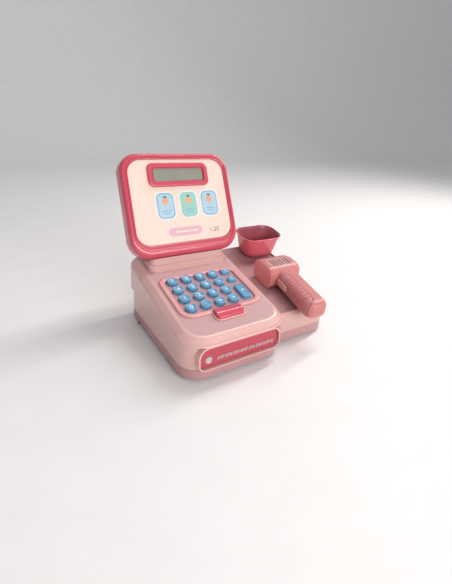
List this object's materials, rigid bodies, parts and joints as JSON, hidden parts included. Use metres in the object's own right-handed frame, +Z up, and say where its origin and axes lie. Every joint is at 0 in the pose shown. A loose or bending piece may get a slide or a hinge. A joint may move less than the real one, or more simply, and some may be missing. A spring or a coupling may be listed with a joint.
{
  "type": "toy cash register",
  "caption": "Toy cash register: sloped case with keypad and drawer, leaning display, and a side platform with a loose tub and a hand scanner.",
  "frame": {"origin": "centre of the bounding box, at the bottom of the feet", "axes": "+X to the right along the keypad rows, towards the side platform, +Y to the back, +Z up"},
  "size_m": [0.246, 0.2256, 0.2256],
  "materials": {
    "blush": "satin gloss",
    "mauve": "satin",
    "salmon": "satin gloss",
    "scanner_salmon": "gloss",
    "trigger_pink": "gloss",
    "sky": "gloss",
    "coral": "gloss",
    "crimson": "gloss",
    "tub_red": "gloss",
    "cream": "satin",
    "lcd_grey": "gloss",
    "dusky": "matte, ribbed",
    "smoked": "gloss",
    "rubber": "matte",
    "silicone": "matte",
    "circuit_board": "satin",
    "steel": "bright",
    "speaker_black": "matte"
  },
  "bodies": {
    "case": {"upper_case": "blush", "side_platform": "blush", "base_pan": "mauve", "side_base": "mauve", "battery_door": "mauve", "keypad_panel": "salmon", "display_front_frame": "coral", "display_back": "coral", "lcd_bezel": "coral", "display_face": "cream", "lcd_window": "lcd_grey", "foot_front_left": "rubber", "foot_front_right": "rubber", "foot_back_left": "rubber", "foot_back_right": "rubber", "foot_platform_front": "rubber", "foot_platform_back": "rubber", "key_membrane": "silicone", "main_board": "circuit_board", "display_board": "circuit_board", "release_spring": "steel", "drawer_spring": "steel", "battery_door_screw": "steel", "battery_contact_minus": "steel", "battery_contact_plus": "steel", "case_screw_1": "steel", "case_screw_2": "steel", "case_screw_3": "steel", "case_screw_4": "steel", "speaker": "speaker_black"},
    "key_0": {"key_0": "sky"},
    "key_point": {"key_point": "sky"},
    "key_equals": {"key_equals": "sky"},
    "key_divide": {"key_divide": "sky"},
    "key_1": {"key_1": "sky"},
    "key_2": {"key_2": "sky"},
    "key_3": {"key_3": "sky"},
    "key_times": {"key_times": "sky"},
    "key_4": {"key_4": "sky"},
    "key_5": {"key_5": "sky"},
    "key_6": {"key_6": "sky"},
    "key_minus": {"key_minus": "sky"},
    "key_7": {"key_7": "sky"},
    "key_8": {"key_8": "sky"},
    "key_9": {"key_9": "sky"},
    "key_plus": {"key_plus": "sky"},
    "key_clear": {"key_clear": "sky"},
    "key_percent": {"key_percent": "sky"},
    "key_total": {"key_total": "sky"},
    "release_bar": {"release_bar": "coral"},
    "cash_drawer": {"cash_drawer": "crimson"},
    "scale_tub": {"scale_tub": "tub_red"},
    "scanner_trigger": {"scanner_trigger": "trigger_pink"},
    "scanner": {"scanner_lower_shell": "scanner_salmon", "scanner_upper_shell": "scanner_salmon", "scanner_window": "smoked", "scanner_grip_lower": "dusky", "scanner_grip_upper": "dusky", "scanner_board": "circuit_board", "trigger_spring": "steel"}
  },
  "joints": [
    {"name": "key_0_press", "type": "slide", "parent": "case", "child": "key_0", "axis": [0, 0.1805, -0.9836], "range_m": [0, 0.002], "stiffness_N_per_m": 250, "springref_m": -0.001},
    {"name": "key_point_press", "type": "slide", "parent": "case", "child": "key_point", "axis": [0, 0.1805, -0.9836], "range_m": [0, 0.002], "stiffness_N_per_m": 250, "springref_m": -0.001},
    {"name": "key_equals_press", "type": "slide", "parent": "case", "child": "key_equals", "axis": [0, 0.1805, -0.9836], "range_m": [0, 0.002], "stiffness_N_per_m": 250, "springref_m": -0.001},
    {"name": "key_divide_press", "type": "slide", "parent": "case", "child": "key_divide", "axis": [0, 0.1805, -0.9836], "range_m": [0, 0.002], "stiffness_N_per_m": 250, "springref_m": -0.001},
    {"name": "key_1_press", "type": "slide", "parent": "case", "child": "key_1", "axis": [0, 0.1805, -0.9836], "range_m": [0, 0.002], "stiffness_N_per_m": 250, "springref_m": -0.001},
    {"name": "key_2_press", "type": "slide", "parent": "case", "child": "key_2", "axis": [0, 0.1805, -0.9836], "range_m": [0, 0.002], "stiffness_N_per_m": 250, "springref_m": -0.001},
    {"name": "key_3_press", "type": "slide", "parent": "case", "child": "key_3", "axis": [0, 0.1805, -0.9836], "range_m": [0, 0.002], "stiffness_N_per_m": 250, "springref_m": -0.001},
    {"name": "key_times_press", "type": "slide", "parent": "case", "child": "key_times", "axis": [0, 0.1805, -0.9836], "range_m": [0, 0.002], "stiffness_N_per_m": 250, "springref_m": -0.001},
    {"name": "key_4_press", "type": "slide", "parent": "case", "child": "key_4", "axis": [0, 0.1805, -0.9836], "range_m": [0, 0.002], "stiffness_N_per_m": 250, "springref_m": -0.001},
    {"name": "key_5_press", "type": "slide", "parent": "case", "child": "key_5", "axis": [0, 0.1805, -0.9836], "range_m": [0, 0.002], "stiffness_N_per_m": 250, "springref_m": -0.001},
    {"name": "key_6_press", "type": "slide", "parent": "case", "child": "key_6", "axis": [0, 0.1805, -0.9836], "range_m": [0, 0.002], "stiffness_N_per_m": 250, "springref_m": -0.001},
    {"name": "key_minus_press", "type": "slide", "parent": "case", "child": "key_minus", "axis": [0, 0.1805, -0.9836], "range_m": [0, 0.002], "stiffness_N_per_m": 250, "springref_m": -0.001},
    {"name": "key_7_press", "type": "slide", "parent": "case", "child": "key_7", "axis": [0, 0.1805, -0.9836], "range_m": [0, 0.002], "stiffness_N_per_m": 250, "springref_m": -0.001},
    {"name": "key_8_press", "type": "slide", "parent": "case", "child": "key_8", "axis": [0, 0.1805, -0.9836], "range_m": [0, 0.002], "stiffness_N_per_m": 250, "springref_m": -0.001},
    {"name": "key_9_press", "type": "slide", "parent": "case", "child": "key_9", "axis": [0, 0.1805, -0.9836], "range_m": [0, 0.002], "stiffness_N_per_m": 250, "springref_m": -0.001},
    {"name": "key_plus_press", "type": "slide", "parent": "case", "child": "key_plus", "axis": [0, 0.1805, -0.9836], "range_m": [0, 0.002], "stiffness_N_per_m": 250, "springref_m": -0.001},
    {"name": "key_clear_press", "type": "slide", "parent": "case", "child": "key_clear", "axis": [0, 0.1805, -0.9836], "range_m": [0, 0.002], "stiffness_N_per_m": 250, "springref_m": -0.001},
    {"name": "key_percent_press", "type": "slide", "parent": "case", "child": "key_percent", "axis": [0, 0.1805, -0.9836], "range_m": [0, 0.002], "stiffness_N_per_m": 250, "springref_m": -0.001},
    {"name": "key_total_press", "type": "slide", "parent": "case", "child": "key_total", "axis": [0, 0.1805, -0.9836], "range_m": [0, 0.002], "stiffness_N_per_m": 250, "springref_m": -0.001},
    {"name": "release_bar_press", "type": "slide", "parent": "case", "child": "release_bar", "axis": [0, 0.1805, -0.9836], "range_m": [0, 0.003], "stiffness_N_per_m": 350, "springref_m": -0.001, "deforming": ["release_spring"]},
    {"name": "drawer_slide", "type": "slide", "parent": "case", "child": "cash_drawer", "axis": [0, -1, 0], "range_m": [0, 0.08]},
    {"name": "tub_lift", "type": "slide", "parent": "case", "child": "scale_tub", "axis": [0, -0.1805, 0.9836], "range_m": [0, 0.05]},
    {"name": "scanner_lift", "type": "slide", "parent": "case", "child": "scanner", "axis": [0, -0.1805, 0.9836], "range_m": [0, 0.06]},
    {"name": "trigger_pull", "type": "slide", "parent": "scanner", "child": "scanner_trigger", "axis": [0.9945, -0.1033, -0.0162], "range_m": [0, 0.0025], "stiffness_N_per_m": 250, "springref_m": -0.001, "deforming": ["trigger_spring"]}
  ]
}
